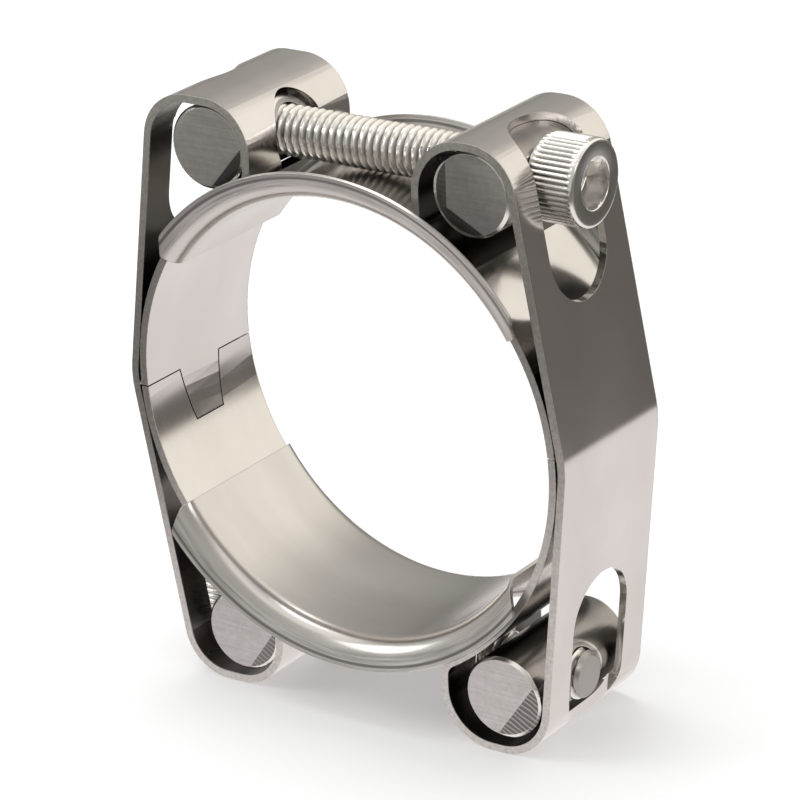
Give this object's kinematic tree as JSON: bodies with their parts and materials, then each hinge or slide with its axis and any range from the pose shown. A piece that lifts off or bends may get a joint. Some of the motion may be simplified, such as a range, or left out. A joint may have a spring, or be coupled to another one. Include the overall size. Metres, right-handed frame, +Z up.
{
  "type": "t bolt clamp",
  "caption": "Hose clamp with sprung strap halves, trunnion pins and socket head cap screws that draw the halves together, with channel bridges across the gaps.",
  "frame": {"origin": "middle of the hose bore, half way along its width", "axes": "+Y along the hose, away from the viewer of the picture; +X along the cap screws, from the left half to the right half; +Z up, from the bottom screw to the top screw"},
  "size_m": [0.0585, 0.024, 0.0715],
  "materials": {
    "strap": "satin stainless strip, rounded by rolling, sheared edges",
    "bridge": "bright rolled stainless sheet",
    "pin": "drawn bar with sawn and sheared ends",
    "bolt": "bright rolled thread and knurled head"
  },
  "bodies": {
    "right_half": {"right_strap": "strap", "right_top_pin": "pin", "right_bottom_pin": "pin", "top_bridge": "bridge"},
    "left_half": {"left_strap": "strap", "left_top_pin": "pin", "left_bottom_pin": "pin", "bottom_bridge": "bridge"},
    "top_bolt": {"top_bolt": "bolt"},
    "bottom_bolt": {"bottom_bolt": "bolt"}
  },
  "joints": [
    {"name": "closing", "type": "slide", "parent": "right_half", "child": "left_half", "axis": [1, 0, 0], "range_m": [-0.006, 0.0011]},
    {"name": "top_bolt_spin", "type": "hinge", "parent": "right_half", "child": "top_bolt", "pos_m": [0, 0, 0.02945], "axis": [1, 0, 0], "range_deg": [-400, 2165]},
    {"name": "bottom_bolt_spin", "type": "hinge", "parent": "left_half", "child": "bottom_bolt", "pos_m": [0, 0, -0.02945], "axis": [1, 0, 0], "range_deg": [-2165, 400]}
  ],
  "couplings": [
    {"joint": "top_bolt_spin", "follows": "closing", "rad_per_m": -6283.2},
    {"joint": "bottom_bolt_spin", "follows": "closing", "rad_per_m": 6283.2}
  ]
}
